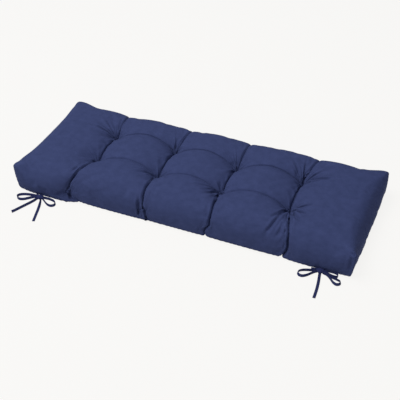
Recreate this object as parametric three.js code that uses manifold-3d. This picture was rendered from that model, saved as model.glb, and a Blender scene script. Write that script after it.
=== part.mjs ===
/**
 * Tufted bench cushion with two ribbon bows, in millimetres, +Z up.
 *
 * The cushion lies on its underside with its length along X and its front edge towards -Y.
 * The origin is on the surface that it rests on, under the middle of the cushion.
 *
 * One filled cover is tacked right through at eight places, two in each of four columns.
 * Every column draws a deep crease across the top and down both long walls, which leaves
 * five pillows side by side. A shallower valley joins the tacks along each row.
 */
import * as THREE from 'three';
import Module from 'manifold-3d';
import { mergeVertices } from 'three/addons/utils/BufferGeometryUtils.js';

const wasm = await Module();
wasm.setup();

// ---------------------------------------------------------------- cushion: driving dimensions

const LEFT_X = -639; // the two darts sewn at the left corners
const RIGHT_X = 637; // the two darts sewn at the right corners
const CORNER_Y = 230; // half the depth, between the darts of one end
const LEFT_BULGE = 8; // how far the left wall swells past its corners
const RIGHT_BULGE = 8; // how far the right wall does
const CROWN = 129; // height of the top before anything is drawn in
const END_FALL = 8; // how much lower the top is at the ends
const SIDE_FALL = 5; // how much lower it is along the long edges
const PILLOW_FALL = 4; // how much each pillow falls from its middle to its creases
const EAR_HEIGHT = 107; // level that the top dips to at the corners
const EAR_REACH = 60; // length over which the top dips down to such a point
const EAR_PUSH = 3.5; // how far the point that a dart makes stands out
const EAR_TIP = 30; // length of that point
const WALL_TOP = 52; // height at which a wall is upright, midway between corners
const SHOULDER = 54; // width of the rounded shoulder between top and wall
const SHOULDER_FADE = 85; // length over which the shoulder sharpens into a corner
const SHOULDER_LEAST = 0.45; // share of its width that is left at the corner
const CORNER_ROUNDING = 0.14; // share of its height that is left there
const SEAM_HEIGHT = 5; // height of the seam that closes the underside
const SEAM_INSET = 2; // how far that seam is drawn in under the wall
const RIM = 14; // width of the roll from the seam down to the surface

// One row for each column of tacks, from the left: the crease's place over the front
// shoulder, at the two tacks and over the back shoulder, its feet at the front and back
// seams, and how far it sways sideways on its way down the front wall.
const TACK_COLUMNS = [
  { frontX: -407, frontFoot: -399, sway: -26, tacks: [-382, -70, -387, 84], backX: -394, backFoot: -391 },
  { frontX: -117, frontFoot: -111, sway: -16, tacks: [-129, -73, -132, 84], backX: -110, backFoot: -115 },
  { frontX: 145, frontFoot: 127, sway: -3, tacks: [121, -76, 122, 70], backX: 128, backFoot: 127 },
  { frontX: 420, frontFoot: 401, sway: -2, tacks: [375, -76, 368, 82], backX: 402, backFoot: 399 },
];
const ROW_Y = 77; // distance of the rows of tacks from the middle, at the ends

// One row for each pillow, from the left: how far it swells past the front and back edges,
// and how far the valleys at its front and back tacks bow to the back.
const PILLOWS = [
  { front: 15, back: 3, frontBow: 0, backBow: 0 },
  { front: 5, back: 4, frontBow: 8, backBow: 22 },
  { front: 1, back: 4, frontBow: 8, backBow: 17 },
  { front: 2, back: 3, frontBow: 8, backBow: 16 },
  { front: 3, back: 12, frontBow: 0, backBow: 0 },
];

// Depths and half widths of what the tacks draw in.
// A crease is a narrow groove at the foot of a wide dip.
const GROOVE = 16; // groove of a crease between the rows of tacks
const GROOVE_REACH = 15; // its half width
const GROOVE_EDGE = 10; // groove where it goes over a long edge
const GROOVE_EDGE_REACH = 12; // its half width there
const GROOVE_SEAM = 9; // groove at the seam below
const DIP = 18; // dip on either side of a crease between the rows of tacks
const DIP_EDGE = 2; // dip where the crease goes over a long edge
const DIP_REACH = 60; // how far the dip runs out from the crease
const DIP_EASE = 1.2; // how soon its slopes level out
const PULL_REACH = 60; // how far a tack pulls a crease down on its way to the edge
const PULL_EASE = 1.6; // how soon that pull ends
const DIMPLE = 28; // dimple of a tack
const DIMPLE_REACH = 45; // how far it runs out
const ROW_MIDDLE = 11; // valley along a row of tacks
const ROW_REACH = 40; // half width of that valley
const ROW_END_REACH = 90; // how far a valley runs out into an end pillow
const UNDER_CREASE = 9; // groove under a crease
const UNDER_CREASE_REACH = 24;
const UNDER_ROW = 4; // groove under a row of tacks
const UNDER_ROW_REACH = 20;
const UNDER_TACK = 8; // what a tack draws up on top of both
const UNDER_TACK_REACH = 34;
const DRAW_IN_REACH = 100; // width of the underside that moves with a drawn-in seam

// Stations, as distances in from a crease, a row or an edge.
const CREASE_STEPS = [0, 3, 12, 32, 66];
const ROW_STEPS = [0, 6, 17, 38];
const EDGE_STEPS = [0, 4, 15, 31, 50];
const WALL_LEVELS = [0, 0.3, 0.65, 1]; // from the top of a wall to its seam

// ---------------------------------------------------------------- ties: driving dimensions

const TAPE_WIDTH = 10;
const TAPE_THICKNESS = 2;
const TAPE_CHAMFER = 0.5;
const FLOOR_GAP = 0.4; // lowest point of a tie above the surface
const FLAT_Z = FLOOR_GAP + TAPE_THICKNESS / 2; // middle of a tape that lies flat
const EDGE_Z = FLOOR_GAP + TAPE_WIDTH / 2; // middle of a tape that stands on its edge
const ROOT_THICKNESS = 4; // both halves of a tie, side by side, between seam and knot
const SEAM_GAP = 0.55; // between a root and the seam that holds it
const KNOT_ACROSS = 12;
const KNOT_FORE = 8.5;
const KNOT_HIGH = 6;
const KNOT_Z = FLOOR_GAP + KNOT_HIGH;
const KNOT_SEGMENTS = [16, 10]; // round the knot, and from its top to its bottom
const WELD_GAP = 1e-4; // corners closer than this are one

// ---------------------------------------------------------------- materials

const COVER_CLOTH = new THREE.MeshStandardMaterial({ color: 0x394166, roughness: 0.9, metalness: 0 });
const TIE_CLOTH = new THREE.MeshStandardMaterial({ color: 0x2f3760, roughness: 0.9, metalness: 0 });

// ---------------------------------------------------------------- cushion

const COLUMN_COUNT = TACK_COLUMNS.length + 1;
const ROW_COUNT = 3;

/** Rises from 0 at no distance, steeply at first, to 1 at the reach: a quarter of an ellipse. */
function swell(distance, reach) {
  const share = Math.min(Math.max(distance / reach, 0), 1);
  return Math.sqrt(1 - (1 - share) ** 2);
}

/** How much is left of something that swells out over a reach: 1 on its line, 0 past the reach. */
function pinch(distance, reach) {
  return 1 - swell(distance, reach);
}

function mix(a, b, share) {
  return a + (b - a) * share;
}

/** 0 at both ends of a span and 1 at its middle. */
function arch(share) {
  return 4 * share * (1 - share);
}

/** The same with a flatter top and steeper ends, as cloth swells between two seams. */
function fullArch(share) {
  return 1 - (2 * share - 1) ** 4;
}

/** The corners of the pillows' panels in plan, as a list of columns of four points each. */
function panelNet(frontKey, backKey) {
  const end = (x) => [
    [x, -CORNER_Y],
    [x, -ROW_Y],
    [x, ROW_Y],
    [x, CORNER_Y],
  ];
  const columns = TACK_COLUMNS.map((column) => [
    [column[frontKey], -CORNER_Y],
    column.tacks.slice(0, 2),
    column.tacks.slice(2),
    [column[backKey], CORNER_Y],
  ]);
  return [end(LEFT_X), ...columns, end(RIGHT_X)];
}

const TOP_NET = panelNet('frontX', 'backX');
const UNDER_NET = panelNet('frontFoot', 'backFoot');
const SWAYS = [0, ...TACK_COLUMNS.map((column) => column.sway), 0];

/** Fractions of a span at the given distances from its two ends, with a few more between. */
function stations(span, fromStart, fromEnd, between) {
  const first = fromStart.at(-1) / span;
  const last = 1 - fromEnd.at(-1) / span;
  const middle = Array.from({ length: between }, (_, i) => mix(first, last, (i + 1) / (between + 1)));
  const end = fromEnd.map((distance) => 1 - distance / span).reverse();
  return [...fromStart.map((distance) => distance / span), ...middle, ...end];
}

/** Joins the stations of neighbouring panels into one rising list of panel coordinates. */
function joined(spans) {
  return spans.flatMap((fractions, panel) =>
    fractions.slice(panel === 0 ? 0 : 1).map((fraction) => panel + fraction),
  );
}

const END_SPAN = 258; // usual width of the panel of an end pillow
const PILLOW_SPAN = 252; // and of one between two columns of tacks
const SIDE_SPAN = CORNER_Y - ROW_Y;
const PILLOW_STATIONS = stations(PILLOW_SPAN, CREASE_STEPS, CREASE_STEPS, 2);
const STATIONS_U = joined([
  stations(END_SPAN, EDGE_STEPS, CREASE_STEPS, 2),
  PILLOW_STATIONS,
  PILLOW_STATIONS,
  PILLOW_STATIONS,
  stations(END_SPAN, CREASE_STEPS, EDGE_STEPS, 2),
]);
const STATIONS_V = joined([
  stations(SIDE_SPAN, EDGE_STEPS, ROW_STEPS, 1),
  stations(2 * ROW_Y, ROW_STEPS, ROW_STEPS, 1),
  stations(SIDE_SPAN, ROW_STEPS, EDGE_STEPS, 1),
]);

/** Where panel coordinates (u, v) lie in plan, and how far that is from creases, rows and edges. */
function place(net, u, v) {
  const column = Math.min(Math.floor(u), COLUMN_COUNT - 1);
  const row = Math.min(Math.floor(v), ROW_COUNT - 1);
  const s = u - column;
  const t = v - row;
  const [a, b] = [net[column][row], net[column + 1][row]];
  const [c, d] = [net[column][row + 1], net[column + 1][row + 1]];
  const left = [mix(a[0], c[0], t), mix(a[1], c[1], t)];
  const right = [mix(b[0], d[0], t), mix(b[1], d[1], t)];
  const width = right[0] - left[0];
  const height = mix(c[1], d[1], s) - mix(a[1], b[1], s);
  let x = mix(left[0], right[0], s);
  let y = mix(left[1], right[1], s);

  const isLeftEnd = column === 0;
  const isRightEnd = column === COLUMN_COUNT - 1;
  const isEnd = isLeftEnd || isRightEnd;
  const toFront = row === 0 ? t * height : Infinity;
  const toBack = row === ROW_COUNT - 1 ? (1 - t) * height : Infinity;
  const toLeft = isLeftEnd ? s * width : Infinity;
  const toRight = isRightEnd ? (1 - s) * width : Infinity;
  const along = fullArch((y + CORNER_Y) / (2 * CORNER_Y));
  const pillow = PILLOWS[column];
  x += along * ((isRightEnd ? RIGHT_BULGE * s : 0) - (isLeftEnd ? LEFT_BULGE * (1 - s) : 0));
  const swellBack = row === ROW_COUNT - 1 ? pillow.back * t : 0;
  const swellFront = row === 0 ? pillow.front * (1 - t) : 0;
  y += fullArch(s) * (swellBack - swellFront);
  const frontShare = [t, 1 - t, 0][row];
  const backShare = [0, t, 1 - t][row];
  y += arch(s) * (pillow.frontBow * frontShare + pillow.backBow * backShare);
  return {
    x,
    y,
    s,
    t,
    row,
    isEnd,
    toCrease: Math.min(isLeftEnd ? Infinity : s * width, isRightEnd ? Infinity : (1 - s) * width),
    toRow: [(1 - t) * height, Math.min(t, 1 - t) * height, t * height][row],
    toEdgeX: Math.min(toLeft, toRight),
    toEdgeY: Math.min(toFront, toBack),
  };
}

/** How much of a tack's pull is left on the way to a long edge: all of it between the rows. */
function pull({ row, t }) {
  const fromRow = [1 - t, 0, t][row] * SIDE_SPAN;
  return Math.exp(-((fromRow / PULL_REACH) ** PULL_EASE));
}

/** How deep the top is drawn in by its column of tacks. */
function creaseDepth(at) {
  const share = pull(at);
  const grooveReach = mix(GROOVE_EDGE_REACH, GROOVE_REACH, share);
  const groove = mix(GROOVE_EDGE, GROOVE, share) * pinch(at.toCrease, grooveReach);
  const dip = mix(DIP_EDGE, DIP, share) * Math.exp(-((at.toCrease / DIP_REACH) ** DIP_EASE));
  const dimple = DIMPLE * Math.exp(-Math.hypot(at.toCrease, at.toRow) / DIMPLE_REACH);
  return groove + dip + dimple;
}

/** How deep the top is drawn in along a row of tacks, on top of that. */
function rowDepth(at) {
  const fade = at.isEnd ? pinch(at.toCrease, ROW_END_REACH) : 1;
  return ROW_MIDDLE * fade * pinch(at.toRow, ROW_REACH);
}

/** How far a point is from the nearest corner dart, in plan. */
function toCorner({ x, y }) {
  return Math.hypot(Math.min(x - LEFT_X, RIGHT_X - x), CORNER_Y - Math.abs(y));
}

/** A point of the top skin, out to where the walls are upright. */
function topPoint(u, v) {
  const at = place(TOP_NET, u, v);
  const corner = toCorner(at);
  const fall = END_FALL * (at.x / RIGHT_X) ** 4 + SIDE_FALL * (at.y / CORNER_Y) ** 2;
  const pillowFall = PILLOW_FALL * (at.isEnd ? pinch(at.toCrease, ROW_END_REACH) : 1 - arch(at.s));
  const crown = CROWN - fall - pillowFall;
  const cornerCrown = CROWN - END_FALL - SIDE_FALL;
  const level = crown - (cornerCrown - EAR_HEIGHT) * Math.exp(-corner / EAR_REACH);
  const rounding = 1 - (1 - CORNER_ROUNDING) * Math.exp(-((corner / SHOULDER_FADE) ** 2));
  const width = SHOULDER * mix(SHOULDER_LEAST, 1, rounding);
  const upright = swell(at.toEdgeY, width);
  const shoulder = (level - WALL_TOP) * rounding * (1 - upright * swell(at.toEdgeX, width));

  const crease = creaseDepth(at);
  const inward = Math.sqrt(1 - upright ** 2);
  const valley = rowDepth(at);
  const ear = EAR_PUSH * Math.exp(-((corner / EAR_TIP) ** 2));
  return [
    at.x + Math.sign(at.x) * ear,
    at.y - Math.sign(at.y) * (crease * inward - ear),
    level - shoulder - crease * upright - valley,
  ];
}

/** A point of the underside, which is flat but for its rim and what the tacks draw up. */
function underPoint(u, v) {
  const at = place(UNDER_NET, u, v);
  const rim = SEAM_HEIGHT * pinch(Math.min(at.toEdgeX, at.toEdgeY), RIM);
  const groove = UNDER_CREASE * pinch(at.toCrease, UNDER_CREASE_REACH);
  const fade = at.isEnd ? pinch(at.toCrease, ROW_END_REACH) : 1;
  const valley = UNDER_ROW * fade * pinch(at.toRow, UNDER_ROW_REACH);
  const toTack = Math.hypot(at.toCrease, at.toRow);
  const tack = UNDER_TACK * Math.max(1 - toTack / UNDER_TACK_REACH, 0);
  const follow = Math.max(1 - at.toEdgeY / DRAW_IN_REACH, 0);
  const drawIn = GROOVE_SEAM * pinch(at.toCrease, GROOVE_EDGE_REACH) * follow;
  return [
    at.x * (1 - SEAM_INSET / RIGHT_X),
    at.y * (1 - SEAM_INSET / CORNER_Y) - Math.sign(at.y) * drawIn,
    Math.max(rim, groove + valley + tack),
  ];
}

/** A point of a wall, at a level from 0 at its top to 1 at the seam. */
function wallPoint(u, v, level) {
  const top = topPoint(u, v);
  const seam = underPoint(u, v);
  const inset = level ** 2;
  const column = Math.min(Math.floor(u), COLUMN_COUNT - 1);
  const sway = v === 0 ? arch(level) * mix(SWAYS[column], SWAYS[column + 1], u - column) : 0;
  return [mix(top[0], seam[0], inset) + sway, mix(top[1], seam[1], inset), mix(top[2], seam[2], level)];
}

/** The filled cushion as one closed skin: top, four walls and underside share their edges. */
function cushionGeometry() {
  const positions = [];
  const numbers = new Map();
  const lastU = STATIONS_U.length - 1;
  const lastV = STATIONS_V.length - 1;
  const lastLevel = WALL_LEVELS.length - 1;

  const vertex = (i, j, k) => {
    const key = `${i},${j},${k}`;
    if (!numbers.has(key)) {
      const [u, v] = [STATIONS_U[i], STATIONS_V[j]];
      const isRim = i === 0 || i === lastU || j === 0 || j === lastV;
      const inside = k === 0 ? topPoint(u, v) : underPoint(u, v);
      numbers.set(key, positions.length / 3);
      positions.push(...(isRim ? wallPoint(u, v, WALL_LEVELS[k]) : inside));
    }
    return numbers.get(key);
  };

  const index = [];
  const quad = (a, b, c, d) => index.push(a, b, c, a, c, d);
  for (let i = 0; i < lastU; i += 1) {
    for (let j = 0; j < lastV; j += 1) {
      quad(vertex(i, j, 0), vertex(i + 1, j, 0), vertex(i + 1, j + 1, 0), vertex(i, j + 1, 0));
      quad(
        vertex(i, j, lastLevel),
        vertex(i, j + 1, lastLevel),
        vertex(i + 1, j + 1, lastLevel),
        vertex(i + 1, j, lastLevel),
      );
    }
  }
  for (let k = 0; k < lastLevel; k += 1) {
    for (let i = 0; i < lastU; i += 1) {
      quad(vertex(i, 0, k + 1), vertex(i + 1, 0, k + 1), vertex(i + 1, 0, k), vertex(i, 0, k));
      quad(
        vertex(i + 1, lastV, k + 1),
        vertex(i, lastV, k + 1),
        vertex(i, lastV, k),
        vertex(i + 1, lastV, k),
      );
    }
    for (let j = 0; j < lastV; j += 1) {
      quad(vertex(0, j + 1, k + 1), vertex(0, j, k + 1), vertex(0, j, k), vertex(0, j + 1, k));
      quad(
        vertex(lastU, j, k + 1),
        vertex(lastU, j + 1, k + 1),
        vertex(lastU, j + 1, k),
        vertex(lastU, j, k),
      );
    }
  }

  const geometry = new THREE.BufferGeometry();
  geometry.setAttribute('position', new THREE.Float32BufferAttribute(positions, 3));
  geometry.setIndex(index);
  geometry.computeVertexNormals();
  return geometry;
}

// ---------------------------------------------------------------- ties

/** Section of a tape: a rectangle with its corners taken off. */
function tapeSection(high, wide) {
  const [h, w, c] = [high / 2, wide / 2, TAPE_CHAMFER];
  return new THREE.Shape([
    new THREE.Vector2(-h, -w + c),
    new THREE.Vector2(-h + c, -w),
    new THREE.Vector2(h - c, -w),
    new THREE.Vector2(h, -w + c),
    new THREE.Vector2(h, w - c),
    new THREE.Vector2(h - c, w),
    new THREE.Vector2(-h + c, w),
    new THREE.Vector2(-h, w - c),
  ]);
}

/** Runs a section along a route of [x, y] points at one height. */
function tapeGeometry(section, route, height, steps) {
  const points = route.map(([x, y]) => new THREE.Vector3(x, y, height));
  const extrudePath = new THREE.CatmullRomCurve3(points, false, 'centripetal');
  return new THREE.ExtrudeGeometry(section, { steps, bevelEnabled: false, extrudePath });
}

/** A closed geometry as a solid that can be joined to others. */
function solid(geometry) {
  const bare = geometry.clone();
  bare.deleteAttribute('normal');
  bare.deleteAttribute('uv');
  const merged = mergeVertices(bare, WELD_GAP);
  const vertProperties = Float32Array.from(merged.attributes.position.array);
  const triVerts = Uint32Array.from(merged.index.array);
  return new wasm.Manifold(new wasm.Mesh({ numProp: 3, vertProperties, triVerts }));
}

/** The knot of a bow, with the doubled root that it is tied on. */
function knotGeometry([x, y], root) {
  const ball = new THREE.SphereGeometry(1, ...KNOT_SEGMENTS);
  ball.rotateX(Math.PI / 2);
  ball.scale(KNOT_ACROSS, KNOT_FORE, KNOT_HIGH);
  ball.translate(x, y, KNOT_Z);
  const rootTape = tapeGeometry(tapeSection(TAPE_WIDTH, ROOT_THICKNESS), root, EDGE_Z, root.length - 1);
  const mesh = solid(ball).add(solid(rootTape)).getMesh();
  const geometry = new THREE.BufferGeometry();
  geometry.setAttribute('position', new THREE.Float32BufferAttribute(mesh.vertProperties, 3));
  geometry.setIndex(Array.from(mesh.triVerts));
  geometry.computeVertexNormals();
  return geometry;
}

const FLAT_SECTION = tapeSection(TAPE_THICKNESS, TAPE_WIDTH);
const EDGE_SECTION = tapeSection(TAPE_WIDTH, TAPE_THICKNESS);

// Each bow: its knot, the root that comes out of the seam, its loops and its free ends.
// A loop stands on its edge and goes from the knot round and back; an end lies flat.
const LEFT_BOW = {
  name: 'left_tie',
  knot: [-527, -261.5],
  root: [
    [-552, -243.4 - SEAM_GAP],
    [-551, -247],
    [-546, -251.5],
    [-536, -256.8],
    [-527, -261],
  ],
  loops: [
    {
      name: 'outer_loop',
      steps: 18,
      route: [
        [-539.6, -259.6],
        [-555, -259.4],
        [-574, -261.4],
        [-595, -267.6],
        [-609, -277],
        [-611, -287],
        [-602, -295.5],
        [-591, -297],
        [-578, -291.5],
        [-564, -279.5],
        [-551, -269],
        [-538.5, -264.7],
      ],
    },
    {
      name: 'inner_loop',
      steps: 14,
      route: [
        [-515, -259.9],
        [-501, -257.6],
        [-485, -257.2],
        [-467, -261.8],
        [-456, -271],
        [-455.5, -281],
        [-464, -288.4],
        [-477, -288],
        [-493, -280],
        [-505, -271.6],
        [-515.7, -265.1],
      ],
    },
  ],
  ends: [
    {
      name: 'outer_end',
      steps: 5,
      route: [
        [-532.2, -267.5],
        [-537.5, -283],
        [-545, -304],
        [-561, -338],
        [-578, -371],
      ],
    },
    {
      name: 'inner_end',
      steps: 5,
      route: [
        [-521.7, -267.2],
        [-515, -284.5],
        [-502, -309],
        [-490, -346],
        [-478, -383],
      ],
    },
  ],
};
const RIGHT_BOW = {
  name: 'right_tie',
  knot: [540, -243],
  root: [
    [537, -231.4 - SEAM_GAP],
    [537.6, -234.5],
    [539, -238.5],
    [540, -243],
  ],
  loops: [
    {
      name: 'outer_loop',
      steps: 16,
      route: [
        [528.1, -245],
        [512, -250.4],
        [494, -256.4],
        [480, -264],
        [473.6, -274],
        [478, -284],
        [489, -287.6],
        [502, -280.5],
        [514, -266.5],
        [523, -256],
        [530.8, -249.6],
      ],
    },
    {
      name: 'upper_loop',
      steps: 12,
      route: [
        [549.8, -237.2],
        [560, -234.6],
        [574, -233.6],
        [588, -234.2],
        [597.5, -239],
        [595, -246.6],
        [583, -246],
        [568, -243.2],
        [552.3, -241.6],
      ],
    },
    {
      name: 'lower_loop',
      steps: 14,
      route: [
        [551.9, -245.1],
        [564, -246.8],
        [583, -251],
        [601, -257],
        [613, -266.5],
        [614.5, -277],
        [605.5, -283.5],
        [593, -278.5],
        [579, -264.5],
        [565, -253.5],
        [549.4, -249.3],
      ],
    },
  ],
  ends: [
    {
      name: 'long_end',
      steps: 5,
      route: [
        [540.6, -249.9],
        [544, -268],
        [548.5, -292],
        [553, -326],
        [555.5, -364],
      ],
    },
    {
      name: 'short_end',
      isOnEdge: true,
      steps: 1,
      route: [
        [527.7, -241.4],
        [519, -242.6],
        [508.5, -242.2],
      ],
    },
  ],
};

/** The pieces of one bow, each as a mesh of its own. */
function bow({ name, knot, root, loops, ends }) {
  const group = new THREE.Group();
  const add = (piece, geometry) => {
    const mesh = new THREE.Mesh(geometry, TIE_CLOTH);
    mesh.name = `${name}_${piece}`;
    group.add(mesh);
  };
  add('knot', knotGeometry(knot, root));
  for (const loop of loops) {
    add(loop.name, tapeGeometry(EDGE_SECTION, loop.route, EDGE_Z, loop.steps));
  }
  for (const end of ends) {
    const section = end.isOnEdge ? EDGE_SECTION : FLAT_SECTION;
    add(end.name, tapeGeometry(section, end.route, end.isOnEdge ? EDGE_Z : FLAT_Z, end.steps));
  }
  return group;
}

// ---------------------------------------------------------------- assembly

const cushion = new THREE.Mesh(cushionGeometry(), COVER_CLOTH);
cushion.name = 'cushion';

const group = new THREE.Group();
group.add(cushion);
group.add(bow(LEFT_BOW));
group.add(bow(RIGHT_BOW));

export default group;
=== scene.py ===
"""A tufted bench cushion with two bows of tape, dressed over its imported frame.

Metres, +Z up. The cushion lies on its underside with its length along X and its front edge,
which carries the bows, towards -Y. The origin is on the surface it rests on, under its middle.
"""

from __future__ import annotations

import logging
import math
from dataclasses import dataclass, field
from enum import Enum
from typing import Any

import bpy
import numpy as np
from mathutils import Matrix, Vector

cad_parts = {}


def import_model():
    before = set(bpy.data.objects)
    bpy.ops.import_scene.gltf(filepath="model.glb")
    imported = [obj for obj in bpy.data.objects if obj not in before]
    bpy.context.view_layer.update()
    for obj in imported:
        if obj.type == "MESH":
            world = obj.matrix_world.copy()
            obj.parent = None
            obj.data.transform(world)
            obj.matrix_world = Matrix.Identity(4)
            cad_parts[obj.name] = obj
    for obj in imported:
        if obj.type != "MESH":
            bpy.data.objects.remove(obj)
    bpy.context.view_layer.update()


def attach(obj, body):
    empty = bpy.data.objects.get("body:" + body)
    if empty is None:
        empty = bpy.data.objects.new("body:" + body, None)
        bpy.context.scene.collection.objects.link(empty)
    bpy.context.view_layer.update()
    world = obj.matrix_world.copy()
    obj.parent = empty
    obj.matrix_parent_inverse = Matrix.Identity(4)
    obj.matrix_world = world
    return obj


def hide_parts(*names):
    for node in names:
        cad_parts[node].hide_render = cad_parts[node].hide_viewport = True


LOG = logging.getLogger("cushion")
BODY = "root"
UV_MAP = "cloth"
SHARP_ANGLE = math.radians(50)
CURVE_STEPS = 24
TINY = 1e-9

Array = np.ndarray
Colour = tuple[float, float, float, float]
Corners = tuple[float, float, float, float]
Route = tuple[tuple[float, float], ...]


# ---------------------------------------------------------------- shader helpers


class Sock:
    """A shader's output socket that Python's operators work on by adding Math nodes."""

    def __init__(self, graph: Graph, output: bpy.types.NodeSocket) -> None:
        """Keep the graph that new nodes are added to, and the output socket."""
        self.graph = graph
        self.output = output

    def _math(self, operation: str, *others: Any) -> Sock:
        """Return the result of a Math node on this value and the others."""
        return self.graph.node("ShaderNodeMath", {"operation": operation}, [self, *others])

    def __add__(self, other: Any) -> Sock:
        """Return self + other."""
        return self._math("ADD", other)

    __radd__ = __add__

    def __mul__(self, other: Any) -> Sock:
        """Return self * other."""
        return self._math("MULTIPLY", other)

    __rmul__ = __mul__

    def __sub__(self, other: Any) -> Sock:
        """Return self - other."""
        return self._math("SUBTRACT", other)

    def __rsub__(self, other: Any) -> Sock:
        """Return other - self."""
        return self.graph.node("ShaderNodeMath", {"operation": "SUBTRACT"}, [other, self])

    def sine(self) -> Sock:
        """Return the sine of the value, which is in radians."""
        return self._math("SINE")

    def clamped(self) -> Sock:
        """Return the value held between 0 and 1."""
        return self.graph.node("ShaderNodeClamp", {}, [self])


class Graph:
    """The node graph of one material."""

    def __init__(self, name: str) -> None:
        """Make a material with a Principled shader only.

        Args:
            name: The material's name.
        """
        self.material = bpy.data.materials.new(name)
        self.material.use_nodes = True
        self.tree = self.material.node_tree
        self.shader = self.tree.nodes["Principled BSDF"]

    def node(
        self, kind: str, settings: dict[str, Any], inputs: Any, output: int | str = 0
    ) -> Sock:
        """Add any node.

        Args:
            kind: The node's type.
            settings: Attributes that are set before its sockets, such as its operation.
            inputs: Values or links, as a list in the sockets' order or a dict by name.
            output: Which output to return.

        Returns:
            The chosen output.
        """
        made = self.tree.nodes.new(kind)
        for key, value in settings.items():
            setattr(made, key, value)
        pairs = inputs.items() if isinstance(inputs, dict) else enumerate(inputs)
        for key, value in pairs:
            self.feed(made.inputs[key], value)
        return Sock(self, made.outputs[output])

    def feed(self, socket: bpy.types.NodeSocket, value: Any) -> None:
        """Link a socket, or set its value.

        Args:
            socket: The input to feed.
            value: A Sock, a number, or a tuple.
        """
        if isinstance(value, Sock):
            self.tree.links.new(value.output, socket)
        else:
            socket.default_value = value

    def mix_colour(self, share: Any, first: Any, second: Any) -> Sock:
        """Return the colour that lies a share of the way from the first to the second."""
        inputs = {0: share, 6: first, 7: second}
        return self.node("ShaderNodeMix", {"data_type": "RGBA"}, inputs, 2)


# ---------------------------------------------------------------- finishes


def srgb(red: int, green: int, blue: int) -> Colour:
    """Turn a colour of 0 to 255 into the linear colour that a shader takes.

    Args:
        red: The red share.
        green: The green share.
        blue: The blue share.

    Returns:
        The linear colour with an alpha of 1.
    """
    linear = [
        c / 12.92 if c <= 0.04045 else ((c + 0.055) / 1.055) ** 2.4
        for c in (red / 255, green / 255, blue / 255)
    ]
    return (linear[0], linear[1], linear[2], 1.0)


@dataclass(frozen=True)
class WovenCloth:
    """A matt plain-weave cloth, dyed in one colour, with slubs and a faint mottle.

    thread, slub, the heights and the painted shade's height are in metres, and clouds is the
    mottle's scale. The
    tone runs from colour at 0 to pale at 1: middle_tone is where it lies, mottle spreads
    it, slub_share is the slubs' part in that, and weave_tone what the weave adds. Below a
    set height the colour is darkened towards a dark blue: painted shade where the walls meet the
    floor.
    """

    name: str
    colour: Colour
    pale: Colour
    thread: float = 0.0011
    slub: float = 0.011
    slub_stretch: float = 14.0
    slub_share: float = 0.45
    slub_detail: tuple[float, float] = (2.0, 0.6)
    clouds: float = 38.0
    cloud_detail: tuple[float, float] = (4.0, 0.62)
    mottle: float = 0.70
    middle_tone: float = 0.44
    weave_tone: float = 0.12
    weave_height: float = 0.00012
    slub_height: float = 0.00024
    bump: float = 0.6
    roughness: float = 0.86
    slub_shine: float = 0.08
    specular: float = 0.04
    # Painted shade: below this height the colour darkens, standing in for the shade where a wall
    # meets the floor.
    painted_shade_height: float = 0.0
    painted_shade_strength: float = 0.55
    painted_shade_colour: Colour = (0.0, 0.0, 0.0, 1.0)

    def make(self) -> bpy.types.Material:
        """Build the material.

        Returns:
            The material, which reads the piece's own UV map in metres.
        """
        graph = Graph(self.name)
        where = graph.node("ShaderNodeUVMap", {"uv_map": UV_MAP}, [])
        across = graph.node("ShaderNodeSeparateXYZ", {}, [where], "X")
        along = graph.node("ShaderNodeSeparateXYZ", {}, [where], "Y")
        pitch = math.tau / self.thread
        warp = (across * pitch).sine() * 0.5 + 0.5
        weft = (along * pitch).sine() * 0.5 + 0.5
        weave = warp * weft + (1 - warp) * (1 - weft)

        slubs_across = self._streaks(graph, where, (1.0, self.slub_stretch, 1.0))
        slubs_along = self._streaks(graph, where, (self.slub_stretch, 1.0, 1.0))
        slubs = (slubs_across + slubs_along) * 0.5
        clouds = self._noise(graph, where, self.clouds, self.cloud_detail)
        uneven = slubs * self.slub_share + clouds * (1 - self.slub_share) - 0.5
        tone = uneven * (2 * self.mottle) + self.middle_tone + weave * self.weave_tone
        colour = graph.mix_colour(tone.clamped(), self.colour, self.pale)
        # Painted shade: the colour darkens towards the floor, below a set height, in place of
        # contact shade.
        if self.painted_shade_height > 0.0:
            place = graph.node("ShaderNodeTexCoord", {}, [], "Object")
            level = graph.node("ShaderNodeSeparateXYZ", {}, [place], "Z")
            edge = (1 - level * (1 / self.painted_shade_height)).clamped()
            colour = graph.mix_colour(edge * self.painted_shade_strength, colour, self.painted_shade_colour)
        rough = self.roughness + (slubs - 0.5) * self.slub_shine
        height = weave * self.weave_height + slubs * self.slub_height
        inputs = {"Strength": self.bump, "Distance": 1.0, "Height": height}
        graph.feed(graph.shader.inputs["Base Color"], colour)
        graph.feed(graph.shader.inputs["Roughness"], rough)
        graph.feed(graph.shader.inputs["Normal"], graph.node("ShaderNodeBump", {}, inputs))
        graph.shader.inputs["Specular IOR Level"].default_value = self.specular
        return graph.material

    def _streaks(self, graph: Graph, where: Sock, stretch: tuple[float, float, float]) -> Sock:
        """Return noise drawn out along one set of threads, and finer across them."""
        scaled = graph.node("ShaderNodeVectorMath", {"operation": "MULTIPLY"}, [where, stretch])
        return self._noise(graph, scaled, 1 / self.slub, self.slub_detail)

    def _noise(
        self, graph: Graph, where: Sock, scale: float, detail: tuple[float, float]
    ) -> Sock:
        """Return soft noise from 0 to 1, with the number and the strength of its finer layers."""
        inputs = {"Vector": where, "Scale": scale, "Detail": detail[0], "Roughness": detail[1]}
        return graph.node("ShaderNodeTexNoise", {"noise_dimensions": "3D"}, inputs)


# The cover's colour is painted darker at the foot of its walls, as shade near the floor.
NAVY_COVER = WovenCloth(
    "navy_cover",
    srgb(43, 51, 82),
    srgb(64, 73, 113),
    painted_shade_height=0.016,
    painted_shade_colour=srgb(24, 26, 60),
)
NAVY_TAPE = WovenCloth(
    "navy_tape", srgb(31, 36, 70), srgb(47, 53, 92), thread=0.0008, clouds=80.0, mottle=0.4
)


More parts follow.
